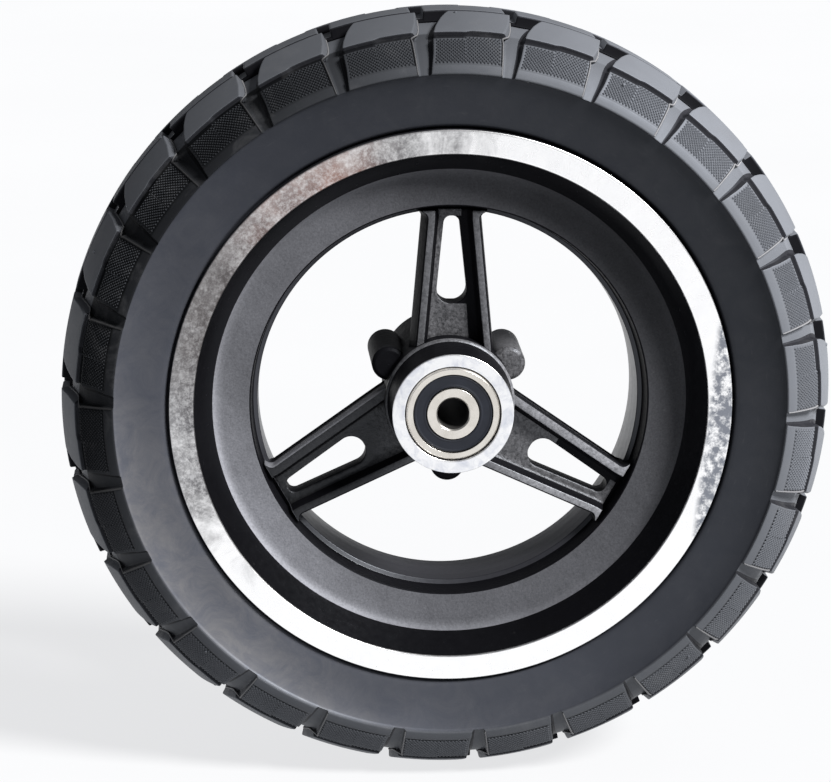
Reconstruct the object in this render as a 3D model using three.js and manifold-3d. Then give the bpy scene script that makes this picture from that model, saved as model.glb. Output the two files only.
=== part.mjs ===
// Three-spoke alloy scooter wheel with a solid block-tread tyre and two sealed
// ball bearings in the hub. Millimetres, +Z up. The wheel spins about the Y
// axis; the origin is the wheel centre. The plain (brake-free) side faces -Y,
// the brake side faces +Y.
import * as THREE from 'three';
import { mergeVertices } from 'three/addons/utils/BufferGeometryUtils.js';
import Module from 'manifold-3d';

const wasm = await Module();
wasm.setup();

// ---------------------------------------------------------------- dimensions
// Tyre: nominal 10 x 2.75 solid tyre on a 6.5 inch rim
const TYRE_R = 125.0;          // crown radius (250 mm outside diameter)
const TYRE_HALF_W = 31.4;      // half of the width over the shoulder lugs
const LUGS = 26;               // shoulder lugs on each side
const LUG_PHASE = 8.6;         // front groove, degrees clockwise from the top
const GROOVE_W = 6.0;          // width of the groove between shoulder lugs
const CENTRE_GROOVE_W = 4.6;   // width of the cross grooves of the centre row
const CHANNEL_IN = 6.6;        // circumferential channel, inner edge (half width)
const CHANNEL_OUT = 8.8;       // circumferential channel, outer edge
const CHANNEL_DEPTH = 3.4;
const TYRE_GAP = 0.35;         // moulding clearance between tyre and rim

// Rim
const LIP_R = 90.0;            // outer radius of the machined lip
const LIP_IN_R = 82.4;         // inner radius of the machined lip face
const LIP_Y = 29.2;            // lip face, distance from the wheel's mid-plane
const SEAT_R = 82.6;           // bead seat radius (165.1 mm, 6.5 inch)
const LEDGE_Y = 18.8;          // annular ledge, distance from the mid-plane
const LEDGE_OUT_R = 74.4;      // where the ledge meets the conical wall
const BORE_R = 64.0;           // radius of the rim's open centre
const RIDGE_R = 61.2;          // ridge on the mid-plane inside the open centre
const DROP_R = 68.5;           // drop-centre radius under the tyre

// Hub
const HUB_FACE_Y = 35.0;       // machined hub face
const HUB_FACE_R = 19.35;
const HUB_R = 20.1;            // hub barrel at the spokes
const COLLAR_R = 20.9;
const COLLAR_Y = 19.2;         // front edge of the collar
const SEAT_BORE_R = 15.35;     // bearing seat
const SEAT_DEPTH = 9.5;        // bearing seat depth
const HUB_CAVITY_R = 12.4;     // hub bore between the two bearing seats

// Spokes
const SPOKE_ANGLES = [90, 210, 330];
const SPOKE_FRONT = -17.0;     // front face of the edge ribs
const SPOKE_REAR = -4.5;        // rear face
const WEB_FRONT = -13.0;       // floor of the recess between the ribs
const SPOKE_W_HUB = 27.2;      // width over the ribs at HUB radius 21
const SPOKE_W_RIM = 19.4;      // width over the ribs at radius 61
const RIB_W = 3.4;
const SLOT_R0 = 36.0;          // centre of the slot's wide end
const SLOT_R1 = 57.3;          // centre of the slot's narrow end
const SLOT_RAD0 = 4.8;
const SLOT_RAD1 = 2.6;

// Brake-disc bosses
const BOSS_ANGLES = [30, 150, 270];
const BOSS_PCD = 44.6;
const BOSS_R = 5.6;
const BOSS_FRONT = -12.0;
const BOSS_REAR = 15.5;
const BOSS_HOLE_R = 2.1;       // tapping size of the blind M5 hole
const BOSS_HOLE_DEPTH = 14.0;

// 6200-size deep-groove ball bearing with two rubber seals
const BRG_OUT_R = 15.0;
const BRG_BORE_R = 5.0;
const BRG_W = 9.0;
const BRG_FACE_Y = 34.8;       // outer side face
const OUTER_SHOULDER_R = 12.9;
const INNER_SHOULDER_R = 8.3;
const BALL_PITCH_R = 10.0;
const BALL_R = 2.381;
const BALLS = 8;
const RACE_GAP = 0.12;

// Spacer tube between the two inner rings
const SPACER_IN_R = 5.3;
const SPACER_OUT_R = 7.4;
const SPACER_HALF = 25.5;

// ------------------------------------------------------------------- helpers
const rad = (deg) => (deg * Math.PI) / 180;

// Merged position-only copy of a geometry, faces pointing outward.
function clean(geometry) {
  let g = geometry.index ? geometry.clone() : mergeVertices(geometry);
  g.deleteAttribute('normal');
  g.deleteAttribute('uv');
  g = mergeVertices(g, 1e-4);
  const p = g.attributes.position.array;
  const idx = Array.from(g.index.array);
  const keep = [];
  let vol = 0;
  for (let i = 0; i < idx.length; i += 3) {
    const [a, b, c] = [idx[i], idx[i + 1], idx[i + 2]];
    if (a === b || b === c || a === c) continue;
    keep.push(a, b, c);
    const A = [p[3 * a], p[3 * a + 1], p[3 * a + 2]];
    const B = [p[3 * b], p[3 * b + 1], p[3 * b + 2]];
    const C = [p[3 * c], p[3 * c + 1], p[3 * c + 2]];
    vol += A[0] * (B[1] * C[2] - B[2] * C[1]) - A[1] * (B[0] * C[2] - B[2] * C[0]) + A[2] * (B[0] * C[1] - B[1] * C[0]);
  }
  if (vol < 0) for (let i = 0; i < keep.length; i += 3) [keep[i + 1], keep[i + 2]] = [keep[i + 2], keep[i + 1]];
  g.setIndex(keep);
  return g;
}

function solid(geometry) {
  const g = clean(geometry);
  return new wasm.Manifold(new wasm.Mesh({
    numProp: 3,
    vertProperties: new Float32Array(g.attributes.position.array),
    triVerts: new Uint32Array(g.index.array),
  }));
}

function geometryOf(manifold) {
  const m = manifold.getMesh();
  const g = new THREE.BufferGeometry();
  g.setAttribute('position', new THREE.BufferAttribute(new Float32Array(m.vertProperties), 3));
  g.setIndex(Array.from(m.triVerts));
  return g;
}

// Body of revolution about Y from a closed outline of [radius, y] points.
// The first column of the lathe lies on +Z.
function turned(outline, segments) {
  const pts = outline.map(([r, y]) => new THREE.Vector2(r, y));
  pts.push(pts[0].clone());
  return new THREE.LatheGeometry(pts, segments);
}

// A half outline given for the front (negative y) side, mirrored to the rear.
function mirrored(half) {
  const rear = half.map(([r, y]) => [r, -y]).reverse();
  return half.concat(rear);
}

// Plate: an outline drawn in the wheel's X-Z plane, between two y values.
function plate(shape, y0, y1, curveSegments = 8) {
  const g = new THREE.ExtrudeGeometry(shape, { depth: y1 - y0, bevelEnabled: false, curveSegments });
  g.rotateX(Math.PI / 2);      // shape x -> X, shape y -> Z, depth -> -Y
  g.translate(0, y1, 0);
  return g;
}

function shapeOf(points) {
  const s = new THREE.Shape();
  s.moveTo(points[0][0], points[0][1]);
  for (const q of points.slice(1)) s.lineTo(q[0], q[1]);
  s.closePath();
  return s;
}

// Turn a geometry about the spin axis so that its local +Z direction points
// at the given angle, measured from +X towards +Z.
function aim(geometry, deg) {
  geometry.rotateY(rad(90 - deg));
  return geometry;
}

const group = new THREE.Group();
function add(name, geometry, color, roughness, metalness, parent = group) {
  const g = geometry.index ? geometry : clean(geometry);
  g.computeVertexNormals();
  const mesh = new THREE.Mesh(g, new THREE.MeshStandardMaterial({ color, roughness, metalness }));
  mesh.name = name;
  parent.add(mesh);
  return mesh;
}

// ---------------------------------------------------------------------- tyre
{
  const g = TYRE_GAP;
  const half = [
    [DROP_R + g + 0.4, -9.4],
    [SEAT_R + g, -13.6],
    [SEAT_R + g, -21.2],
    [84.7, -23.2],
    [LIP_R + 0.7, -25.2],
    [91.5, -27.6],
    [99.0, -28.0],
    [106.4, -30.7],
    [107.8, -TYRE_HALF_W],
    [118.8, -24.6],
    [TYRE_R - 0.9, -CHANNEL_OUT],
    [TYRE_R - CHANNEL_DEPTH, -CHANNEL_OUT + 0.6],
    [TYRE_R - CHANNEL_DEPTH, -CHANNEL_IN - 0.4],
    [TYRE_R, -CHANNEL_IN + 0.6],
  ];
  const pitch = 360 / LUGS;
  // two facets to a lug pitch, each groove in the middle of a facet
  const carcass = turned(mirrored(half), 2 * LUGS);
  carcass.rotateY(rad(LUG_PHASE - pitch / 4));
  let body = solid(carcass);

  // groove between two shoulder lugs: its floor runs from the sidewall up to
  // the circumferential channel
  const floor = [
    [105.9, -36], [106.5, -30.9], [112.0, -25.9], [116.8, -20.8],
    [TYRE_R - 4.6, -CHANNEL_OUT + 0.3], [130, -CHANNEL_OUT + 0.3], [130, -36],
  ];
  const cut = (deg, side) => {
    const s = shapeOf(floor.map(([r, y]) => [side * -y, r]));
    const e = new THREE.ExtrudeGeometry(s, { depth: GROOVE_W, bevelEnabled: false });
    // shape x -> -Y side, shape y -> radius (Z), depth -> tangential
    e.translate(0, 0, -GROOVE_W / 2);
    e.rotateY(Math.PI / 2);    // shape x -> -Z, depth -> X
    const m = new THREE.Matrix4().set(
      1, 0, 0, 0,
      0, 0, 1, 0,
      0, 1, 0, 0,
      0, 0, 0, 1);
    e.applyMatrix4(m);
    return solid(aim(e, deg));
  };
  const cross = (deg) => {
    const s = shapeOf([
      [-CHANNEL_IN - 1.2, TYRE_R - 2.6], [CHANNEL_IN + 1.2, TYRE_R - 2.6],
      [CHANNEL_IN + 1.2, 130], [-CHANNEL_IN - 1.2, 130]]);
    const e = new THREE.ExtrudeGeometry(s, { depth: CENTRE_GROOVE_W, bevelEnabled: false });
    e.translate(0, 0, -CENTRE_GROOVE_W / 2);
    e.rotateY(Math.PI / 2);
    const m = new THREE.Matrix4().set(
      1, 0, 0, 0,
      0, 0, 1, 0,
      0, 1, 0, 0,
      0, 0, 0, 1);
    e.applyMatrix4(m);
    return solid(aim(e, deg));
  };
  for (let k = 0; k < LUGS; k++) {
    const a = 90 - LUG_PHASE - k * pitch;
    body = body.subtract(cut(a, 1));
    body = body.subtract(cut(a - pitch / 2, -1));
    body = body.subtract(cross(a));
  }
  add('tyre', geometryOf(body), 0x2b2d33, 0.72, 0.0);
}

// ----------------------------------------------------------------- wheel rim
{
  const half = [
    [RIDGE_R, -0.8],
    [63.1, -3.8],
    [BORE_R, -LEDGE_Y],
    [LEDGE_OUT_R, -LEDGE_Y],
    [76.0, -20.0],
    [LIP_IN_R, -LIP_Y],
    [LIP_R - 0.5, -LIP_Y],
    [LIP_R, -LIP_Y + 0.5],
    [LIP_R, -25.4],
    [84.8, -23.6],
    [SEAT_R, -21.4],
    [SEAT_R, -14.0],
    [DROP_R + 0.6, -9.8],
  ];
  let rim = solid(turned(mirrored(half), 48));

  // hub barrel with bearing seats and a waist between them
  const hub = [
    [HUB_CAVITY_R, -HUB_FACE_Y + SEAT_DEPTH],
    [SEAT_BORE_R, -HUB_FACE_Y + SEAT_DEPTH],
    [SEAT_BORE_R, -HUB_FACE_Y],
    [HUB_FACE_R, -HUB_FACE_Y],
    [HUB_R, -COLLAR_Y],
    [COLLAR_R, -COLLAR_Y + 0.4],
    [COLLAR_R, -5.0],
    [HUB_R, -4.0],
    [HUB_R, 18.0],
    [HUB_FACE_R, HUB_FACE_Y],
    [SEAT_BORE_R, HUB_FACE_Y],
    [SEAT_BORE_R, HUB_FACE_Y - SEAT_DEPTH],
    [HUB_CAVITY_R, HUB_FACE_Y - SEAT_DEPTH],
  ];
  const hubSolid = solid(turned(hub, 40));

  // one spoke pointing along +Z: a tapered bar with a recess on its front face
  // (leaving two edge ribs) and a teardrop slot through the web
  const r0 = 17.5;
  const rEnd = 66.0;
  const half0 = SPOKE_W_HUB / 2;
  const half1 = SPOKE_W_RIM / 2;
  const slope = (half1 - half0) / (61 - 21);
  const wAt = (r) => half0 + slope * (r - 21);
  const fl = 4.0;              // fillet where the spoke meets the ridge
  const outline = [[-wAt(r0), r0], [wAt(r0), r0], [wAt(61 - fl), 61 - fl]];
  for (let i = 0; i <= 4; i++) {
    const t = rad(180 - (90 * i) / 4);
    outline.push([wAt(61 - fl) + fl + fl * Math.cos(t), 61 - fl + fl * Math.sin(t)]);
  }
  outline.push([wAt(61 - fl) + fl, rEnd - 3.0], [0, rEnd], [-wAt(61 - fl) - fl, rEnd - 3.0]);
  for (let i = 4; i >= 0; i--) {
    const t = rad(180 - (90 * i) / 4);
    outline.push([-(wAt(61 - fl) + fl + fl * Math.cos(t)), 61 - fl + fl * Math.sin(t)]);
  }
  outline.push([-wAt(61 - fl), 61 - fl]);
  const recess = [
    [-(wAt(20) - RIB_W), 20.0], [wAt(20) - RIB_W, 20.0],
    [wAt(62.2) - RIB_W, 62.2], [-(wAt(62.2) - RIB_W), 62.2],
  ];
  const slot = new THREE.Shape();
  {
    const lean = Math.asin((SLOT_RAD0 - SLOT_RAD1) / (SLOT_R1 - SLOT_R0));
    slot.absarc(0, SLOT_R1, SLOT_RAD1, lean, Math.PI - lean, false);
    slot.absarc(0, SLOT_R0, SLOT_RAD0, Math.PI - lean, 2 * Math.PI + lean, false);
    slot.closePath();
  }
  let spider = hubSolid;
  for (const a of SPOKE_ANGLES) {
    let spoke = solid(aim(plate(shapeOf(outline), SPOKE_FRONT, SPOKE_REAR), a));
    spoke = spoke.subtract(solid(aim(plate(shapeOf(recess), SPOKE_FRONT - 5, WEB_FRONT), a)));
    spoke = spoke.subtract(solid(aim(plate(slot, -30, 10, 7), a)));
    spider = spider.add(spoke);
  }
  for (const a of BOSS_ANGLES) {
    const len = BOSS_REAR - BOSS_FRONT;
    const boss = new THREE.CylinderGeometry(BOSS_R, BOSS_R + 0.2, len, 20);
    boss.translate(0, (BOSS_FRONT + BOSS_REAR) / 2, BOSS_PCD / 2);
    spider = spider.add(solid(aim(boss, a)));
  }
  for (const a of BOSS_ANGLES) {
    const hole = new THREE.CylinderGeometry(BOSS_HOLE_R, BOSS_HOLE_R, BOSS_HOLE_DEPTH + 1, 12);
    hole.translate(0, BOSS_REAR - BOSS_HOLE_DEPTH / 2 + 0.5, BOSS_PCD / 2);
    spider = spider.subtract(solid(aim(hole, a)));
  }
  // keep the hub's inside clear, and trim the spokes inside the rim's ring
  const inside = solid(turned([[0.001, -60], [HUB_CAVITY_R, -60], [HUB_CAVITY_R, 60], [0.001, 60]], 40));
  const seatF = solid(turned([[0.001, -60], [SEAT_BORE_R, -60], [SEAT_BORE_R, -HUB_FACE_Y + SEAT_DEPTH], [0.001, -HUB_FACE_Y + SEAT_DEPTH]], 40));
  const seatR = solid(turned([[0.001, HUB_FACE_Y - SEAT_DEPTH], [SEAT_BORE_R, HUB_FACE_Y - SEAT_DEPTH], [SEAT_BORE_R, 60], [0.001, 60]], 40));
  spider = spider.subtract(inside).subtract(seatF).subtract(seatR);
  rim = rim.add(spider);
  add('wheel_rim', geometryOf(rim), 0x1b1c1f, 0.45, 0.35);
}

// ------------------------------------------------------------------ bearings
const STEEL = 0xcfcdc6;
function bearing(prefix, side) {
  // side -1: front bearing, +1: rear bearing; outboard is away from the wheel
  const y = (t) => side * (BRG_FACE_Y - t);   // t: depth in from the outer face
  const raceOut = BALL_PITCH_R + BALL_R + RACE_GAP + 0.05;
  const raceIn = BALL_PITCH_R - BALL_R - RACE_GAP;
  const c = BRG_W / 2;
  add(`${prefix}_outer_ring`, clean(turned([
    [BRG_OUT_R - 0.6, y(0)], [BRG_OUT_R, y(0.6)], [BRG_OUT_R, y(BRG_W - 0.6)], [BRG_OUT_R - 0.6, y(BRG_W)],
    [OUTER_SHOULDER_R, y(BRG_W)], [raceOut, y(c + 1.6)], [raceOut, y(c - 1.6)], [OUTER_SHOULDER_R, y(0)],
  ], 32)), STEEL, 0.22, 0.95);
  add(`${prefix}_inner_ring`, clean(turned([
    [BRG_BORE_R + 0.5, y(0)], [INNER_SHOULDER_R, y(0)], [raceIn, y(c - 1.6)], [raceIn, y(c + 1.6)],
    [INNER_SHOULDER_R, y(BRG_W)], [BRG_BORE_R + 0.5, y(BRG_W)], [BRG_BORE_R, y(BRG_W - 0.5)], [BRG_BORE_R, y(0.5)],
  ], 32)), STEEL, 0.22, 0.95);

  // crown cage: a ring on the inboard side with a finger between every two balls
  const cageIn = 9.15, cageOut = 10.85;
  const ring = solid(turned([[cageIn, y(7.55)], [cageOut, y(7.55)], [cageOut, y(3.4)], [cageIn, y(3.4)]], 32));
  let cage = ring;
  for (let k = 0; k < BALLS; k++) {
    const a = 22.5 + (k * 360) / BALLS;
    const pocket = new THREE.BoxGeometry(2 * BALL_R + 0.5, 6.05, 4);   // open to the outboard side
    pocket.translate(0, y(1.0 + 6.05 / 2), BALL_PITCH_R);
    cage = cage.subtract(solid(aim(pocket, a)));
  }
  add(`${prefix}_cage`, geometryOf(cage), 0x4a3a26, 0.6, 0.0);
  for (let k = 0; k < BALLS; k++) {
    const a = rad(22.5 + (k * 360) / BALLS);
    const ball = add(`${prefix}_ball_${k + 1}`, clean(new THREE.IcosahedronGeometry(BALL_R, 1)), 0xe2e2e2, 0.12, 1.0);
    ball.position.set(BALL_PITCH_R * Math.cos(a), y(c), BALL_PITCH_R * Math.sin(a));
  }
  const seal = (name, t0, dir) => {
    const s = (t) => y(t0 + dir * t);
    add(name, clean(turned([
      [INNER_SHOULDER_R + 0.35, s(0)], [OUTER_SHOULDER_R - 0.8, s(0)],
      [OUTER_SHOULDER_R - 0.8, s(1.0)], [INNER_SHOULDER_R + 0.35, s(1.0)],
    ], 32)), 0x2c2f3a, 0.75, 0.0);
  };
  seal(`${prefix}_outboard_seal`, 0.3, 1);
  seal(`${prefix}_inboard_seal`, BRG_W - 0.3, -1);
}
bearing('front', -1);
bearing('rear', 1);

// --------------------------------------------------------------- spacer tube
add('spacer_tube', clean(turned([
  [SPACER_IN_R, -SPACER_HALF], [SPACER_OUT_R, -SPACER_HALF],
  [SPACER_OUT_R, SPACER_HALF], [SPACER_IN_R, SPACER_HALF],
], 32)), 0xb9bcc0, 0.4, 0.8);

export default group;
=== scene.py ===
import bpy, math
import numpy as np
from mathutils import Matrix, Vector


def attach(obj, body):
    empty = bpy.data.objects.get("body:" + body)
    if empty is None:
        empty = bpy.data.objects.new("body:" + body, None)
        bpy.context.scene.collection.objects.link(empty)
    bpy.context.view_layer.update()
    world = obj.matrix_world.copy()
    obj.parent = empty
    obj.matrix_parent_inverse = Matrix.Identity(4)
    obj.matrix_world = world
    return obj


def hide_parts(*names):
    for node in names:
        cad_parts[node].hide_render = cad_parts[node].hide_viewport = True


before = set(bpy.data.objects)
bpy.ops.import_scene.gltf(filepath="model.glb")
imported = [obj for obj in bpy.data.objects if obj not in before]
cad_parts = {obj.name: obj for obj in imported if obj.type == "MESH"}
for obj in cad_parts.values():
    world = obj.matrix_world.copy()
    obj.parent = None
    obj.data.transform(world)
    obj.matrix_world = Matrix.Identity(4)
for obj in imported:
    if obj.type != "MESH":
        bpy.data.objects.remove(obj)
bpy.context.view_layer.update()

MM = 0.001
RNG = np.random.default_rng(20)

# --------------------------------------------------------------- dimensions, mm
PITCH = 360.0 / 26
PHASE = 8.6            # front groove, degrees clockwise from the top
TOP_R = 124.9
STEP = (118.7, -24.5)
EDGE = (107.8, -31.25)
LIP_Y, LIP_R, LIP_IN = 29.2, 90.0, 82.4
LEDGE_Y, BORE_R = 18.8, 64.0
HUB_Y = 35.0
COLLAR_Y, COLLAR_R = 19.2, 20.9


# ---------------------------------------------------------------- mesh building
def make(name, parts, mats):
    """One mesh object from parts (vertices in mm, faces, smooth, material index)."""
    vs, loops, starts, smooth, index = [], [], [], [], []
    vo = lo = 0
    for v, f, sm, mi in parts:
        v, f = np.asarray(v, float).reshape(-1, 3), np.asarray(f, int)
        if not len(f):
            continue
        mi = np.broadcast_to(np.asarray(mi, int), (len(f),))
        q = v[f]
        area = np.linalg.norm(np.cross(q[:, 2] - q[:, 0], q[:, -1] - q[:, 1]), axis=1)
        f, mi = f[area > 1e-6], mi[area > 1e-6]
        vs.append(v)
        loops.append((f + vo).ravel())
        starts.append(lo + np.arange(len(f)) * f.shape[1])
        smooth.append(np.full(len(f), bool(sm)))
        index.append(mi)
        vo += len(v)
        lo += f.size
    me = bpy.data.meshes.new(name)
    co = np.concatenate(vs) * MM
    lp, st = np.concatenate(loops), np.concatenate(starts)
    me.vertices.add(len(co))
    me.loops.add(len(lp))
    me.polygons.add(len(st))
    me.vertices.foreach_set("co", co.astype(np.float32).ravel())
    me.loops.foreach_set("vertex_index", lp.astype(np.int32))
    me.polygons.foreach_set("loop_start", st.astype(np.int32))
    me.update(calc_edges=True)
    me.polygons.foreach_set("use_smooth", np.concatenate(smooth))
    me.polygons.foreach_set("material_index", np.concatenate(index).astype(np.int32))
    for m in mats:
        me.materials.append(m)
    me.validate()
    me.update()
    o = bpy.data.objects.new(name, me)
    bpy.context.scene.collection.objects.link(o)
    return o


def grid(n, m, close_i=False, close_j=False, flip=False):
    i = np.arange(n if close_i else n - 1)
    j = np.arange(m if close_j else m - 1)
    I, J = np.meshgrid(i, j, indexing="ij")
    I2, J2 = (I + 1) % n, (J + 1) % m
    f = np.stack([I * m + J, I * m + J2, I2 * m + J2, I2 * m + J], -1).reshape(-1, 4)
    return f[:, ::-1] if flip else f


def around(R, y, deg):
    """Point at radius R and depth y, deg clockwise from the top seen from the front."""
    a = np.radians(deg)
    return np.stack([R * np.sin(a), y + 0 * R * a, R * np.cos(a)], -1)


def rounded(points, closed=True, n=4, support=0.35):
    """Rounds the corners of a polyline of (r, y, radius), with support points beside them."""
    P = [np.array(p[:2], float) for p in points]
    rad = [p[2] if len(p) > 2 else 0.0 for p in points]
    out, N = [], len(P)
    for k in range(N):
        if rad[k] <= 0 or (not closed and k in (0, N - 1)):
            out.append(P[k])
            continue
        a, b, c = P[k - 1], P[k], P[(k + 1) % N]
        u, v = (a - b), (c - b)
        lu, lv = np.linalg.norm(u), np.linalg.norm(v)
        u, v = u / lu, v / lv
        half = math.acos(max(-1, min(1, float(u @ v)))) / 2
        if half > math.pi / 2 - 0.02:
            out.append(b)
            continue
        r = rad[k]
        d = min(r / math.tan(half), 0.48 * lu, 0.48 * lv)
        r = d * math.tan(half)
        centre = b + (u + v) / np.linalg.norm(u + v) * (r / math.sin(half))
        p0, p1 = b + u * d, b + v * d
        a0 = math.atan2(*(p0 - centre)[::-1])
        a1 = math.atan2(*(p1 - centre)[::-1])
        da = (a1 - a0 + math.pi) % (2 * math.pi) - math.pi
        for t in np.linspace(0, 1, n + 1):
            out.append(centre + r * np.array([math.cos(a0 + da * t), math.sin(a0 + da * t)]))
    res = []
    M = len(out)
    for k in range(M if closed else M - 1):
        p, q = out[k], out[(k + 1) % M]
        L = np.linalg.norm(q - p)
        res.append(p)
        if L > 3.2 * support:
            e = (q - p) / L
            res += [p + e * support, q - e * support]
    if not closed:
        res.append(out[-1])
    return np.array(res)


def lathe(profile, segs, mat=0, axis=(0.0, 0.0), closed=True, material_of=None, phase=0.0):
    """Body of revolution about Y through axis (x, z). material_of(r, y) picks a face's material."""
    profile = np.asarray(profile, float)
    n = len(profile)
    deg = phase + np.arange(segs) * 360.0 / segs
    v = around(profile[:, 0][:, None], profile[:, 1][:, None], deg[None, :])
    v = v + np.array([axis[0], 0, axis[1]])
    area = 0.0
    for k in range(n):
        (x0, y0), (x1, y1) = profile[k], profile[(k + 1) % n]
        area += x0 * y1 - x1 * y0
    f = grid(n, segs, close_i=closed, close_j=True, flip=area < 0)
    if material_of is not None:
        nxt = np.roll(profile, -1, axis=0) if closed else profile[1:]
        here = profile if closed else profile[:-1]
        mid = (here + nxt) / 2
        per = np.array([material_of(r, y) for r, y in mid])
        mat = np.repeat(per, segs)
    return (v.reshape(-1, 3), f, True, mat)


def interp(x, xs, ys):
    return np.interp(x, xs, ys)


# -------------------------------------------------------------------- materials
def nodes_of(name):
    m = bpy.data.materials.new(name)
    m.use_nodes = True
    nt = m.node_tree
    nt.nodes.clear()
    out = nt.nodes.new("ShaderNodeOutputMaterial")
    b = nt.nodes.new("ShaderNodeBsdfPrincipled")
    nt.links.new(b.outputs[0], out.inputs[0])
    return m, nt, b


def add(nt, kind, **values):
    n = nt.nodes.new("ShaderNode" + kind)
    for k, v in values.items():
        if k in n.inputs:
            n.inputs[k].default_value = v
        else:
            setattr(n, k, v)
    return n


def coords(nt):
    return nt.nodes.new("ShaderNodeTexCoord").outputs["Object"]


def noise(nt, scale, detail=4.0, rough=0.55, vector=None, distortion=0.0):
    n = add(nt, "TexNoise", Scale=scale, Detail=detail, Roughness=rough, Distortion=distortion)
    nt.links.new(vector if vector is not None else coords(nt), n.inputs["Vector"])
    return n.outputs["Fac"]


def ramp(nt, fac, stops):
    r = nt.nodes.new("ShaderNodeValToRGB")
    e = r.color_ramp.elements
    while len(e) < len(stops):
        e.new(0.5)
    for k, (p, c) in enumerate(stops):
        e[k].position = p
        e[k].color = (c, c, c, 1) if isinstance(c, (int, float)) else (*c, 1)
    nt.links.new(fac, r.inputs[0])
    return r.outputs["Color"]


def math_node(nt, op, a, b=None, c=None):
    n = nt.nodes.new("ShaderNodeMath")
    n.operation = op
    for k, v in enumerate((a, b, c)):
        if v is None:
            continue
        if isinstance(v, (int, float)):
            n.inputs[k].default_value = v
        else:
            nt.links.new(v, n.inputs[k])
    return n.outputs[0]


def mix_colour(nt, fac, a, b, blend="MIX"):
    n = nt.nodes.new("ShaderNodeMix")
    n.data_type = "RGBA"
    n.blend_type = blend
    for sock, v in ((n.inputs[0], fac), (n.inputs[6], a), (n.inputs[7], b)):
        if isinstance(v, (int, float)):
            sock.default_value = v
        elif isinstance(v, tuple):
            sock.default_value = (*v, 1)
        else:
            nt.links.new(v, sock)
    return n.outputs[2]


def bump(nt, height, strength, distance, normal=None):
    b = add(nt, "Bump", Strength=strength, Distance=distance)
    nt.links.new(height, b.inputs["Height"])
    if normal is not None:
        nt.links.new(normal, b.inputs["Normal"])
    return b.outputs[0]


def polar(nt):
    """(radius, angle, y) from object coordinates, in metres and radians."""
    s = nt.nodes.new("ShaderNodeSeparateXYZ")
    nt.links.new(coords(nt), s.inputs[0])
    x, y, z = s.outputs
    r = math_node(nt, "SQRT", math_node(nt, "ADD", math_node(nt, "MULTIPLY", x, x), math_node(nt, "MULTIPLY", z, z)))
    a = math_node(nt, "ARCTAN2", x, z)
    return r, a, y, x, z


def combine(nt, x, y, z):
    c = nt.nodes.new("ShaderNodeCombineXYZ")
    for k, v in enumerate((x, y, z)):
        if isinstance(v, (int, float)):
            c.inputs[k].default_value = v
        else:
            nt.links.new(v, c.inputs[k])
    return c.outputs[0]


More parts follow.
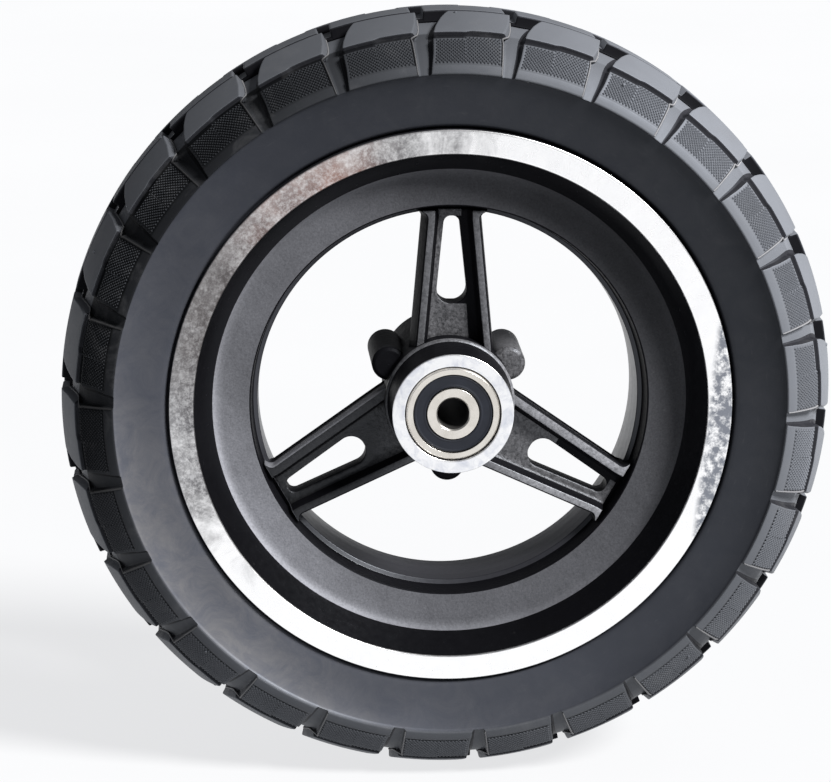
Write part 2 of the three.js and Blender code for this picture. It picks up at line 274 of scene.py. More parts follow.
def rubber(name, tread, wall):
    """Moulded rubber: a scuffed grey tread surface and a smoother dark sidewall, with painted light and shade: channels
    near-black, lug flanks darker to the left, tread lighter to the upper right, caps lighter than the flanks, sidewall
    lighter to the lower left.
    """
    m, nt, b = nodes_of(name)
    r, a, y, x, z = polar(nt)
    broad = noise(nt, 18, 5, 0.6)
    fine = noise(nt, 420, 4, 0.6)
    grain = noise(nt, 1500, 2, 0.5)
    on_tread = ramp(nt, math_node(nt, "MULTIPLY", math_node(nt, "SUBTRACT", r, 0.1068), 500), [(0.28, 0.0), (0.42, 1.0)])
    near = math_node(nt, "MULTIPLY", math_node(nt, "SUBTRACT", math_node(nt, "ABSOLUTE", y), 0.0061), 500)
    channel = math_node(nt, "MULTIPLY", ramp(nt, near, [(0.1, 0.0), (0.22, 1.0)]), ramp(nt, math_node(nt, "MULTIPLY", math_node(nt, "SUBTRACT", math_node(nt, "ABSOLUTE", y), 0.0086), 500), [(0.0, 1.0), (0.2, 0.0)]))
    inside = ramp(nt, math_node(nt, "MULTIPLY", math_node(nt, "SUBTRACT", r, 0.1240), 500), [(0.1, 1.0), (0.36, 0.0)])
    # painted shade: the channels inside the crown are painted near-black and their specular level is lowered
    channel_shade = math_node(nt, "MULTIPLY", channel, inside)
    # painted light and shade: the sidewall colour is scaled from 0.2 at the upper right to 1.75 at the lower left,
    # where the light falls
    side = math_node(nt, "ADD", math_node(nt, "MULTIPLY", x, -0.80), math_node(nt, "MULTIPLY", z, -0.60))
    lean = ramp(nt, math_node(nt, "ADD", math_node(nt, "MULTIPLY", side, 4.2), 0.5), [(0.10, 0.20), (0.5, 0.60), (0.75, 1.05), (0.84, 1.30), (0.92, 1.75)])
    # painted shade: the lug flanks below the caps are darkened towards the left, down to 0.16, on the side away from
    # the key light
    left = math_node(nt, "ADD", math_node(nt, "MULTIPLY", x, -0.95), math_node(nt, "MULTIPLY", z, 0.42))
    below = ramp(nt, math_node(nt, "MULTIPLY", math_node(nt, "SUBTRACT", r, 0.1178), 500), [(0.40, 1.0), (0.52, 0.0)])
    left_lug_shade = mix_colour(nt, below, (1.0, 1.0, 1.0), ramp(nt, math_node(nt, "ADD", math_node(nt, "MULTIPLY", left, 4.0), 0.5), [(0.60, 1.0), (0.92, 0.16)]))
    # painted light: the tread colour is raised up to twice towards the upper right, where the key light falls, and
    # lowered to 0.8 on the far side
    up_right = math_node(nt, "ADD", math_node(nt, "MULTIPLY", x, 0.85), math_node(nt, "MULTIPLY", z, 0.45))
    lit = ramp(nt, math_node(nt, "ADD", math_node(nt, "MULTIPLY", up_right, 4.0), 0.5), [(0.50, 0.80), (0.72, 1.0), (0.93, 2.0)])
    # painted light: the caps above the knurled flanks are painted 1.25 times lighter
    cap_highlight = mix_colour(nt, below, (1.25, 1.25, 1.25), (1.0, 1.0, 1.0))
    block = mix_colour(nt, 1.0, mix_colour(nt, 1.0, mix_colour(nt, 1.0, tread, left_lug_shade, "MULTIPLY"), lit, "MULTIPLY"), cap_highlight, "MULTIPLY")
    col = mix_colour(nt, on_tread, mix_colour(nt, 1.0, wall, lean, "MULTIPLY"), block)
    # dust patches on the sidewall, strongest at the lower left where the sidewall is painted lighter: partly dust,
    # partly painted light
    dust_and_light = math_node(nt, "MULTIPLY", ramp(nt, math_node(nt, "ADD", math_node(nt, "MULTIPLY", side, 4.2), 0.5), [(0.55, 0.03), (0.82, 0.16), (0.93, 0.55)]),
                       ramp(nt, noise(nt, 95, 8, 0.78, distortion=0.8), [(0.36, 0.25), (0.62, 1.0)]))
    col = mix_colour(nt, math_node(nt, "MULTIPLY", dust_and_light, math_node(nt, "SUBTRACT", 1.0, on_tread)), col, (0.155, 0.150, 0.148))
    rub = noise(nt, 1.0, 5, 0.7, combine(nt, math_node(nt, "MULTIPLY", r, 900), math_node(nt, "MULTIPLY", a, 14), 1.0))
    col = mix_colour(nt, math_node(nt, "MULTIPLY", ramp(nt, rub, [(0.60, 0.0), (0.78, 1.0)]), math_node(nt, "SUBTRACT", 0.16, math_node(nt, "MULTIPLY", on_tread, 0.12))), col, (0.10, 0.10, 0.105))
    col = mix_colour(nt, math_node(nt, "MULTIPLY", ramp(nt, broad, [(0.3, 0.0), (0.7, 1.0)]), 0.22), col, (0.0, 0.0, 0.0))
    dust = ramp(nt, noise(nt, 60, 6, 0.7, distortion=0.6), [(0.52, 0.0), (0.8, 1.0)])
    col = mix_colour(nt, math_node(nt, "MULTIPLY", dust, math_node(nt, "ADD", math_node(nt, "MULTIPLY", on_tread, 0.20), 0.05)), col, (0.13, 0.13, 0.135))
    # painted shade: near-black in the channels
    col = mix_colour(nt, math_node(nt, "MULTIPLY", channel_shade, 0.9), col, (0.004, 0.004, 0.005))
    nt.links.new(col, b.inputs["Base Color"])
    nt.links.new(math_node(nt, "ADD", math_node(nt, "ADD", math_node(nt, "MULTIPLY", fine, 0.16), 0.36), math_node(nt, "MULTIPLY", on_tread, 0.10)), b.inputs["Roughness"])
    n1 = bump(nt, broad, 0.10, 0.0006)
    n2 = bump(nt, fine, 0.22, 0.00012, n1)
    nt.links.new(bump(nt, grain, 0.20, 0.00005, n2), b.inputs["Normal"])
    lum = nt.nodes.new("ShaderNodeRGBToBW")
    nt.links.new(left_lug_shade, lum.inputs[0])
    # the specular level follows the painted shade: lower on the left lug flanks and in the channels
    shine = math_node(nt, "MULTIPLY", math_node(nt, "SUBTRACT", 0.27, math_node(nt, "MULTIPLY", channel_shade, 0.23)), math_node(nt, "ADD", math_node(nt, "MULTIPLY", lum.outputs[0], 0.8), 0.2))
    nt.links.new(shine, b.inputs["Specular IOR Level"])
    b.inputs["Specular Tint"].default_value = (0.80, 0.87, 1.0, 1.0)
    return m


def paint(name, base, rough, grain_scale, grain_strength, cast, side_shade=0.0, mottle=0.0, sheen=0.5, painted_shade_left=0.0, painted_light_right=1.0):
    """Black paint over a casting. The side factor paints one side of the wheel lighter and the upper right darker, and
    the ledge's outer fillet lighter: painted light and shade. The left and right factors paint the left darker and the
    right lighter: painted shade and light. mottle gives the uneven cast skin.
    """
    m, nt, b = nodes_of(name)
    broad = noise(nt, 22, 5, 0.6)
    lo = tuple(c * 0.8 for c in base)
    hi = tuple(c * 1.35 for c in base)
    tone = ramp(nt, broad, [(0.3, lo), (0.72, hi)])
    specks = add(nt, "TexVoronoi", Scale=grain_scale * 0.5)
    nt.links.new(coords(nt), specks.inputs["Vector"])
    dots = ramp(nt, specks.outputs["Distance"], [(0.0, 1.0), (0.14, 0.0)])
    amount = math_node(nt, "MULTIPLY", math_node(nt, "MULTIPLY", dots, ramp(nt, noise(nt, 40, 3), [(0.5, 0.0), (0.75, 1.0)])), 0.30 if cast else 0.10)
    if side_shade:
        r, a, y, x, z = polar(nt)
        # painted light and shade: the colour falls by the side factor towards the upper right and stays full towards
        # the lower left, as light falls
        side = math_node(nt, "ADD", math_node(nt, "MULTIPLY", x, -0.85), math_node(nt, "MULTIPLY", z, -0.53))
        lean = ramp(nt, math_node(nt, "ADD", math_node(nt, "MULTIPLY", side, 5.0), 0.5), [(0.12, 1.0 - side_shade), (0.5, 1.0 - side_shade * 0.66), (0.76, 1.0 - side_shade * 0.5), (0.86, 1.0)])
        tone = mix_colour(nt, 1.0, tone, lean, "MULTIPLY")
        # painted highlight: the ledge's outer fillet, beyond r 74.5 mm, is painted up to 1.3 times lighter
        edge = ramp(nt, math_node(nt, "MULTIPLY", math_node(nt, "SUBTRACT", r, 0.0740), 400.0), [(0.2, 1.0), (0.75, 1.30)])
        tone = mix_colour(nt, 1.0, tone, edge, "MULTIPLY")
    # painted shade and light: the colour is darkened towards the left of the wheel and lightened towards the right
    if painted_shade_left:
        r, a, y, x, z = polar(nt)
        lean = ramp(nt, math_node(nt, "ADD", math_node(nt, "MULTIPLY", x, 12.0), 0.5), [(0.20, 1.0 - painted_shade_left), (0.42, 1.0), (0.60, 1.0), (0.85, painted_light_right)])
        tone = mix_colour(nt, 1.0, tone, lean, "MULTIPLY")
    if mottle:
        skin = ramp(nt, noise(nt, 1500 if side_shade else 900, 6, 0.68, distortion=0.7), [(0.34, 1.0 - mottle), (0.5, 1.0), (0.68, 1.0 + mottle)])
        tone = mix_colour(nt, 1.0, tone, skin, "MULTIPLY")
    nt.links.new(mix_colour(nt, amount, tone, (0.16, 0.155, 0.15)), b.inputs["Base Color"])
    fine = noise(nt, grain_scale, 4, 0.6)
    rr = math_node(nt, "ADD", math_node(nt, "MULTIPLY", fine, 0.18), rough - 0.09)
    nt.links.new(rr, b.inputs["Roughness"])
    n1 = bump(nt, fine, grain_strength, 0.00018 if cast else 0.00006)
    if cast:
        n1 = bump(nt, noise(nt, grain_scale * 0.33, 5, 0.65), grain_strength * 0.8, 0.0005, n1)
    nt.links.new(n1, b.inputs["Normal"])
    b.inputs["Specular IOR Level"].default_value = sheen
    b.inputs["Specular Tint"].default_value = (0.86, 0.91, 1.0, 1.0)
    return m


def machined(name, base, rough, reflection_amount, smear=0.30, smear_scale=55):
    """Turned bare alloy: tool rings about the axle, scratches and smudges, and a painted reflection of darker
    surroundings on one side of the lip, mottled like stains.
    """
    m, nt, b = nodes_of(name)
    r, a, y, x, z = polar(nt)
    rings = noise(nt, 1.0, 3, 0.6, combine(nt, math_node(nt, "MULTIPLY", r, 2600), math_node(nt, "MULTIPLY", a, 1.6), 0.0))
    streak = noise(nt, 1.0, 4, 0.6, combine(nt, math_node(nt, "MULTIPLY", r, 160), math_node(nt, "MULTIPLY", a, 26), 3.0))
    smudge = noise(nt, smear_scale, 5, 0.6, distortion=0.8)
    pits = add(nt, "TexVoronoi", Scale=420.0)
    nt.links.new(coords(nt), pits.inputs["Vector"])
    pit = ramp(nt, pits.outputs["Distance"], [(0.0, 1.0), (0.25, 0.0)])
    # where the painted reflection of darker surroundings sits, mottled like a stain: strongest towards the upper left,
    # fading to the right and down
    side = math_node(nt, "ADD", math_node(nt, "MULTIPLY", x, -0.86), math_node(nt, "MULTIPLY", z, 0.50))
    where = ramp(nt, math_node(nt, "ADD", math_node(nt, "MULTIPLY", side, 5.2), math_node(nt, "MULTIPLY", math_node(nt, "SUBTRACT", smudge, 0.5), 0.42)), [(0.17, 0.0), (0.27, 1.0)])
    blotch = ramp(nt, noise(nt, 75, 7, 0.75, distortion=0.5), [(0.32, 0.62), (0.50, 1.0)])
    grains = ramp(nt, noise(nt, 700, 4, 0.75), [(0.36, 0.55), (0.58, 1.0)])
    # a bluish-grey painted reflection patch at the right of the lip
    right = math_node(nt, "ADD", math_node(nt, "MULTIPLY", x, 0.996), math_node(nt, "MULTIPLY", z, -0.087))
    blue_reflection = math_node(nt, "MULTIPLY", ramp(nt, math_node(nt, "MULTIPLY", right, 12.0), [(0.975, 0.0), (0.998, 1.0)]), ramp(nt, noise(nt, 300, 6, 0.72), [(0.40, 0.0), (0.55, 1.0)]))
    # darker towards the lip's inner edge, part of the painted reflection
    inner = ramp(nt, math_node(nt, "MULTIPLY", math_node(nt, "SUBTRACT", r, 0.0815), 110.0), [(0.1, 1.0), (0.85, 0.80)])
    reflection_mask = math_node(nt, "MULTIPLY", math_node(nt, "MULTIPLY", math_node(nt, "MULTIPLY", math_node(nt, "MULTIPLY", where, blotch), grains), inner), reflection_amount)
    # grey-brown and dark brown painted reflection towards the upper left
    off = math_node(nt, "ABSOLUTE", math_node(nt, "ADD", a, 0.60))
    copper = math_node(nt, "MULTIPLY", ramp(nt, off, [(0.10, 1.0), (0.42, 0.0)]), ramp(nt, noise(nt, 48, 5, 0.65), [(0.38, 0.35), (0.60, 1.0)]))
    warm = mix_colour(nt, copper, (0.095, 0.092, 0.100), (0.32, 0.165, 0.125))
    brown_reflection = math_node(nt, "MULTIPLY", ramp(nt, math_node(nt, "ABSOLUTE", math_node(nt, "ADD", a, 1.18)), [(0.14, 1.0), (0.46, 0.0)]), ramp(nt, noise(nt, 60, 6, 0.7), [(0.30, 0.35), (0.56, 1.0)]))
    clean = mix_colour(nt, math_node(nt, "MULTIPLY", ramp(nt, smudge, [(0.45, 0.0), (0.8, 1.0)]), smear), base, (base[0] * 0.72, base[1] * 0.74, base[2] * 0.80))
    col = mix_colour(nt, reflection_mask, clean, warm)
    col = mix_colour(nt, math_node(nt, "MULTIPLY", brown_reflection, 0.55 * reflection_amount), col, (0.075, 0.058, 0.052))
    col = mix_colour(nt, math_node(nt, "MULTIPLY", blue_reflection, 0.85 * reflection_amount), col, (0.060, 0.078, 0.120))
    nt.links.new(mix_colour(nt, math_node(nt, "MULTIPLY", math_node(nt, "MULTIPLY", pit, reflection_mask), 0.5), col, (0.85, 0.84, 0.83)), b.inputs["Base Color"])
    b.inputs["Metallic"].default_value = 1.0
    rr = math_node(nt, "ADD", math_node(nt, "ADD", math_node(nt, "MULTIPLY", streak, 0.16), rough - 0.06), math_node(nt, "MULTIPLY", reflection_mask, 0.16))
    nt.links.new(rr, b.inputs["Roughness"])
    n1 = bump(nt, rings, 0.35, 0.00003)
    nt.links.new(bump(nt, noise(nt, 900, 3, 0.6), 0.15, 0.00004, n1), b.inputs["Normal"])
    return m


def steel(name, base, rough):
    m, nt, b = nodes_of(name)
    r, a, y, x, z = polar(nt)
    rings = noise(nt, 1.0, 2, 0.5, combine(nt, math_node(nt, "MULTIPLY", r, 3800), math_node(nt, "MULTIPLY", a, 1.0), 0.0))
    smudge = noise(nt, 160, 5, 0.65, distortion=0.5)
    nt.links.new(mix_colour(nt, math_node(nt, "MULTIPLY", ramp(nt, smudge, [(0.42, 0.0), (0.75, 1.0)]), 0.35), base, (base[0] * 0.6, base[1] * 0.58, base[2] * 0.54)), b.inputs["Base Color"])
    b.inputs["Metallic"].default_value = 1.0
    nt.links.new(math_node(nt, "ADD", math_node(nt, "MULTIPLY", smudge, 0.14), rough - 0.05), b.inputs["Roughness"])
    nt.links.new(bump(nt, rings, 0.25, 0.00002), b.inputs["Normal"])
    return m


def plain(name, base, rough, scale, strength, metallic=0.0, sheen=0.5):
    m, nt, b = nodes_of(name)
    n = noise(nt, scale * 0.1, 4, 0.6)
    nt.links.new(ramp(nt, n, [(0.3, tuple(c * 0.78 for c in base)), (0.7, tuple(min(1, c * 1.22) for c in base))]), b.inputs["Base Color"])
    f = noise(nt, scale, 4, 0.6)
    nt.links.new(math_node(nt, "ADD", math_node(nt, "MULTIPLY", f, 0.14), rough - 0.07), b.inputs["Roughness"])
    nt.links.new(bump(nt, f, strength, 0.00005), b.inputs["Normal"])
    b.inputs["Metallic"].default_value = metallic
    b.inputs["Specular IOR Level"].default_value = sheen
    return m


RUBBER = rubber("tyre_rubber_moulded", (0.069, 0.073, 0.082), (0.034, 0.037, 0.047))
# the flash lines are real raised edges, coloured lighter than the tread as a painted highlight
FLASH_HIGHLIGHT = rubber("tyre_flash_line_highlight", (0.125, 0.125, 0.13), (0.06, 0.06, 0.07))
# near-black rubber for faces deep in grooves, sipes and channels: painted shade
RECESS_SHADE = rubber("tyre_recess_painted_shade", (0.010, 0.010, 0.012), (0.008, 0.008, 0.010))
# The casting's black paint in several copies: WEB and RIB are lighter copies for faces turned to the key light, and RIB
# also paints a highlight arc on the hub collar; SHADE is a near-black copy for faces in shade. These are painted light
# and shade. CAST is the ledge's rough cast skin, painted lighter on one side.
PAINT = paint("rim_paint_satin", (0.014, 0.014, 0.017), 0.34, 700, 0.25, False)
CAST = paint("rim_paint_cast", (0.150, 0.153, 0.170), 0.52, 620, 0.70, True, side_shade=0.86, mottle=0.22, sheen=0.08)
WEB = paint("rim_paint_web", (0.058, 0.058, 0.062), 0.36, 900, 1.0, True, mottle=0.75, sheen=0.34, painted_shade_left=0.88)
RIB = paint("rim_paint_rib", (0.072, 0.073, 0.079), 0.34, 800, 0.7, True, mottle=0.45, sheen=0.34, painted_shade_left=0.88, painted_light_right=2.3)
GLOSS = paint("rim_paint_gloss", (0.0028, 0.0028, 0.0035), 0.24, 500, 0.10, False, sheen=0.28)
SHADE = paint("rim_paint_shade", (0.0035, 0.0035, 0.0045), 0.50, 800, 0.5, True, sheen=0.05)
LIP = machined("rim_machined_lip", (0.99, 0.99, 0.995), 0.24, 0.95, 0.20)
FACE = machined("hub_machined_face", (0.93, 0.935, 0.95), 0.28, 0.10, 1.4, 210)
STEEL = steel("bearing_steel_ground", (0.74, 0.71, 0.66), 0.24)
BALL = steel("bearing_ball_steel", (0.78, 0.78, 0.78), 0.10)
SEAL = plain("seal_rubber_moulded", (0.010, 0.012, 0.018), 0.50, 1400, 0.45, 0.0, 0.25)
CAGE = plain("cage_polymer_moulded", (0.25, 0.19, 0.12), 0.55, 900, 0.2)
# dark alloy for the spacer tube and the bearing bores, dark as painted shade in the bore
BORE_SHADE = plain("spacer_alloy_painted_shade", (0.035, 0.034, 0.033), 0.55, 900, 0.2, 0.4)


# ------------------------------------------------------------------------- tyre
def smooth_curve(points, step=0.25):
    """Catmull-Rom curve through the points, resampled evenly."""
    P = np.array(points, float)
    P = np.vstack([2 * P[0] - P[1], P, 2 * P[-1] - P[-2]])
    out = []
    for k in range(1, len(P) - 2):
        for t in np.linspace(0, 1, 24, endpoint=False):
            p0, p1, p2, p3 = P[k - 1], P[k], P[k + 1], P[k + 2]
            out.append(0.5 * (2 * p1 + (p2 - p0) * t + (2 * p0 - 5 * p1 + 4 * p2 - p3) * t * t + (3 * p1 - p0 - 3 * p2 + p3) * t ** 3))
    out.append(P[-2])
    out = np.array(out)
    s = np.concatenate([[0], np.cumsum(np.linalg.norm(np.diff(out, axis=0), axis=1))])
    t = np.linspace(0, s[-1], int(s[-1] / step) + 1)
    return np.stack([np.interp(t, s, out[:, 0]), np.interp(t, s, out[:, 1])], 1), t


def crown_at(y):
    return TOP_R - 0.02 * abs(y) / 7 if abs(y) < 7 else TOP_R - 0.02 - 0.035 * (abs(y) - 7)


def shoulder_base():
    cap, _ = smooth_curve([(crown_at(-7.6), -7.6), (crown_at(-8.8), -8.8), (123.75, -12.5), (122.1, -17.0), (120.55, -20.8), STEP])
    face, _ = smooth_curve([STEP, (116.3, -26.5), (112.8, -28.8), (109.8, -30.5), EDGE])
    both = np.vstack([cap, face[1:]])
    s = np.concatenate([[0], np.cumsum(np.linalg.norm(np.diff(both, axis=0), axis=1))])
    tangent = np.gradient(both, s, axis=0)
    k = np.ones(7) / 7
    pad = np.pad(tangent, ((3, 3), (0, 0)), mode="edge")
    tangent = np.stack([np.convolve(pad[:, c], k, "valid") for c in (0, 1)], 1)
    tangent /= np.linalg.norm(tangent, axis=1)[:, None]
    normal = np.stack([-tangent[:, 1], tangent[:, 0]], 1)   # points out of the tyre
    if normal[0, 0] < 0:
        normal = -normal
    s_step = s[np.argmin(np.linalg.norm(both - np.array(STEP), axis=1))]
    return both, normal, s, s_step


BASE, NORMAL, BS, S_STEP = shoulder_base()
S_END = BS[-1]
S_KN = S_STEP + 0.74 * (S_END - S_STEP)


def on_base(s, h):
    R0, y0 = np.interp(s, BS, BASE[:, 0]), np.interp(s, BS, BASE[:, 1])
    nr, ny = np.interp(s, BS, NORMAL[:, 0]), np.interp(s, BS, NORMAL[:, 1])
    return R0 + h * nr, y0 + h * ny, R0


def g_left_top(s):    # lug's far end to the next groove's centre line, at the top of the wall
    return interp(s, [1.2, 9, 14, S_STEP, S_STEP + 1.6, 24, S_END], [0.8, 1.4, 2.5, 3.6, 3.05, 2.75, 2.4])


def g_left_bottom(s):
    return interp(s, [1.2, 9, 14, S_STEP, S_STEP + 1.6, 24, S_END], [0.1, 0.2, 0.9, 2.0, 2.4, 2.2, 1.9])


def g_right_top(s):   # groove's centre line to the next lug's near end
    return interp(s, [1.2, 3, 7, 12, S_STEP - 2, 24, S_END], [10.0, 8.8, 6.8, 4.9, 3.9, 3.2, 1.95])


def g_right_bottom(s):
    return interp(s, [1.2, 6, 11, 15, S_STEP, 24, S_END], [9.0, 6.8, 4.6, 3.4, 2.9, 2.35, 1.35])


FLOOR, FT = smooth_curve([(121.2, -7.6), (121.2, -8.8), (120.55, -12.4), (119.1, -16.9), (116.95, -21.3), (114.2, -24.7), (111.0, -27.5), (107.35, -30.3)])
F_STEP = FT[np.argmin(np.linalg.norm(FLOOR - np.array((116.95, -21.3)), axis=1))]


def floor_at(s):
    """Groove floor point that belongs to a place along the lug surface."""
    t = np.interp(s, [0.0, S_STEP, S_END], [0.0, F_STEP, FT[-1]])
    return np.interp(t, FT, FLOOR[:, 0]), np.interp(t, FT, FLOOR[:, 1])


JOG = 0.38


def shoulder(side, offset):
    """One shoulder: 26 lugs with their grooves. side -1 is the front. Returns mesh parts."""
    rows = [(0.0, "c"), (0.85, "c"), (1.12, "c1"), (1.2, "c2"), (1.34, "c3"), (1.6, "t")]
    rows += [(v, "t") for v in np.linspace(2.1, S_STEP - 3.4, 12)]
    rows += [(S_STEP - 3.05, "t"), (S_STEP - 2.82, "e"), (S_STEP - 2.7, "g1"), (S_STEP - 2.45, "g"), (S_STEP - 0.5, "g"),
             (S_STEP - 0.2, "g2"), (S_STEP + 0.05, "k0"), (S_STEP + 0.3, "k")]
    rows += [(v, "k") for v in np.linspace(S_STEP + 0.9, S_KN - 0.5, 10)]
    rows += [(S_KN, "k"), (S_KN + 0.2, "b")]
    rows += [(v, "b") for v in np.linspace(S_KN + 0.8, S_END - 0.5, 4)]
    rows += [(S_END - 0.14, "b"), (S_END, "b2")]
    S = np.array([r[0] for r in rows])
    kind = [r[1] for r in rows]
    lug_h = {"c": -3.5, "c1": -3.3, "c2": -0.35, "c3": -0.08, "t": 0.0, "e": -0.1, "g1": -0.6, "g": -2.5, "g2": -1.3, "k0": -0.5, "k": -0.42, "b": 0.0, "b2": -0.12}
    top = np.array([lug_h[k] for k in kind])
    fR, fy = floor_at(S)
    P = np.interp(S, BS, BASE[:, 0]) * math.radians(PITCH)
    gRb, gRt, gLt, gLb = g_right_bottom(S), g_right_top(S), g_left_top(S), g_left_bottom(S)
    zero = np.zeros_like(S)
    width = P - gLt - gRt
    j0, j1 = gRt + 0.44 * width, gRt + 0.53 * width
    # columns: position, share of lug height (0 floor, 1 lug top), jog share
    cols = []

    def put(pos, share, jog):
        cols.append((pos, share, jog))
    put(zero, 0.0, 0.0)
    for t in (0.35, 0.7):
        put(gRb * t, -0.02 if t < 0.5 else 0.0, 0.3 * t)
    put(gRb, 0.035, 0.5)
    for t, sh in ((0.14, 0.12), (0.45, 0.50), (0.8, 0.90), (0.93, 0.975)):
        put(gRb + (gRt - gRb) * t, sh, 0.5 + 0.5 * t)
    put(gRt, 1.0, 1.0)
    for t in (0.04, 0.2, 0.4, 0.6, 0.8, 0.95):
        put(gRt + (j0 - gRt) * t, 1.0, 1.0)
    put(j0, 1.0, 1.0)
    put((j0 + j1) / 2, 1.0, 0.0)
    put(j1, 1.0, -1.0)
    e1 = P - gLt
    for t in (0.05, 0.2, 0.4, 0.6, 0.8, 0.96):
        put(j1 + (e1 - j1) * t, 1.0, -1.0)
    put(e1, 1.0, -1.0)
    for t, sh in ((0.08, 0.965), (0.25, 0.86), (0.6, 0.42), (0.88, 0.08)):
        put(e1 + (P - gLb - e1) * t, sh, -1.0 + 0.5 * t)
    put(P - gLb, 0.03, -0.5)
    for t in (0.35, 0.7):
        put(P - gLb + gLb * t, 0.0, -0.3 * (1 - t))
    pos = np.stack([c[0] for c in cols], 1)                  # rows x columns, mm from the groove
    share = np.array([c[1] for c in cols])[None, :]
    jog = np.array([c[2] for c in cols])[None, :]
    fade = np.interp(S, [7, S_STEP - 1.2, S_STEP + 1.2, S_KN - 0.6], [0, 1, 1, 0])[:, None]
    SS = S[:, None] + JOG * jog * fade
    R, y, R0 = on_base(SS, top[:, None] + 0 * SS)
    R, y = fR[:, None] + (R - fR[:, None]) * share, fy[:, None] + (y - fy[:, None]) * share
    deg = np.degrees(pos / R0)
    n, m = R.shape
    lugs = np.arange(26) * PITCH + PHASE + offset
    D = (deg[:, None, :] + lugs[None, :, None]).reshape(n, 26 * m)
    R = np.repeat(R[:, None, :], 26, 1).reshape(n, -1)
    y = np.repeat(y[:, None, :], 26, 1).reshape(n, -1)
    if side > 0:
        y = -y
    v = around(R, y, D)
    f = grid(n, 26 * m, close_j=True, flip=side > 0)
    fi, fj = f.min(axis=1) // (26 * m), (f % (26 * m) % m)
    sh = np.array([c[1] for c in cols])
    # painted shade: the channel and sipe rows, and each lug's wall turned away from the key light, take the near-black
    # recess rubber (material 2)
    up_wall = (np.arange(m) >= 2) & (np.arange(m) <= 7)
    recess_row = np.array([k in ("c", "c1", "g1", "g", "g2") for k in kind])
    fi = np.minimum(fi, n - 2)
    dark = (recess_row[fi] | (np.isin(np.array(kind)[fi], ("e",)))) & (sh[fj].min(axis=1) > 0.3)
    dark |= np.isin(np.array(kind)[fi], ("c", "c1"))
    dark |= up_wall[fj].all(axis=1)
    parts = [(v.reshape(-1, 3), f, True, np.where(dark, 2, 0))]

    # sidewall, bead and seat, following the last row's columns
    wall = np.array([(107.25, -30.2), (106.7, -29.95), (105.8, -29.6), (104.4, -29.15), (102.8, -28.75), (100.8, -28.42), (98.2, -28.2), (95.4, -28.12),
                     (93.0, -28.12), (91.9, -28.05), (91.25, -27.8), (90.9, -27.3), (90.75, -26.5), (90.6, -25.4), (88.5, -24.5), (84.7, -23.2), (83.2, -22.2), (82.95, -21.2), (82.95, -13.6), (69.25, -9.4), (69.25, 0.0)])
    last_R, last_y, last_D = R[-1], (-y[-1] if side > 0 else y[-1]), D[-1]
    WR = np.vstack([last_R, np.repeat(wall[:, 0][:, None], len(last_R), 1)])
    WY = np.vstack([last_y, np.repeat(wall[:, 1][:, None], len(last_R), 1)])
    if side > 0:
        WY = -WY
    wv = around(WR, WY, np.repeat(last_D[None, :], len(wall) + 1, 0))
    parts.append((wv.reshape(-1, 3), grid(len(wall) + 1, len(last_R), close_j=True, flip=side > 0), True, 0))

    # knurled patch: small pyramids on a diagonal lattice
    p = q = 1.16
    verts, faces = [], []
    srow = np.arange(S_STEP + 0.75, S_KN - 0.2, q / 2)
    base_pts, apex_pts = [], []
    for bi, sc in enumerate(srow):
        R0 = float(np.interp(sc, BS, BASE[:, 0]))
        Pm = R0 * math.radians(PITCH)
        lo, hi = float(g_right_top(sc)) + 0.3, Pm - float(g_left_top(sc)) - 0.3
        mid = (float(g_right_top(sc)) + 0.48 * (Pm - float(g_left_top(sc)) - float(g_right_top(sc))))
        tt = np.arange(math.ceil((lo - mid) / p) * p, hi - mid, p) + mid + (p / 2 if bi % 2 else 0)
        tt = tt[(tt > lo) & (tt < hi)]
        for t in tt:
            jg = (1.0 if t < mid else -1.0) * JOG * float(np.interp(sc, [S_STEP, S_STEP + 1.2, S_KN - 0.6], [1, 1, 0]))
            base_pts.append((t, sc + jg))
    base_pts = np.array(base_pts)
    T, SC = base_pts[:, 0], base_pts[:, 1]
    for a0 in lugs:
        # the pattern is crisp at the top and worn low towards the bottom
        k = min(1.0, max(0.0, (math.cos(math.radians(a0 + PITCH / 2)) + 0.45) / 0.7))
        depth = 0.58 * (0.38 + 0.62 * k * k * (3 - 2 * k))
        corner = []
        for dt, ds, h in ((-p / 2, 0, 0.12 - depth), (0, -q / 2, 0.12 - depth), (p / 2, 0, 0.12 - depth), (0, q / 2, 0.12 - depth), (0, 0, 0.12)):
            R1, y1, R0 = on_base(SC + ds, np.full(len(SC), h))
            corner.append((R1, -y1 if side > 0 else y1, np.degrees((T + dt) / R0)))
        verts.append(around(np.stack([c[0] for c in corner], 1), np.stack([c[1] for c in corner], 1), np.stack([c[2] for c in corner], 1) + a0).reshape(-1, 3))
    n1 = len(base_pts)
    f = np.array([[0, 1, 4], [1, 2, 4], [2, 3, 4], [3, 0, 4]])
    if side > 0:
        f = f[:, ::-1]
    f = (f[None] + 5 * np.arange(n1 * 26)[:, None, None]).reshape(-1, 3)
    parts.append((np.concatenate(verts), f, False, 0))

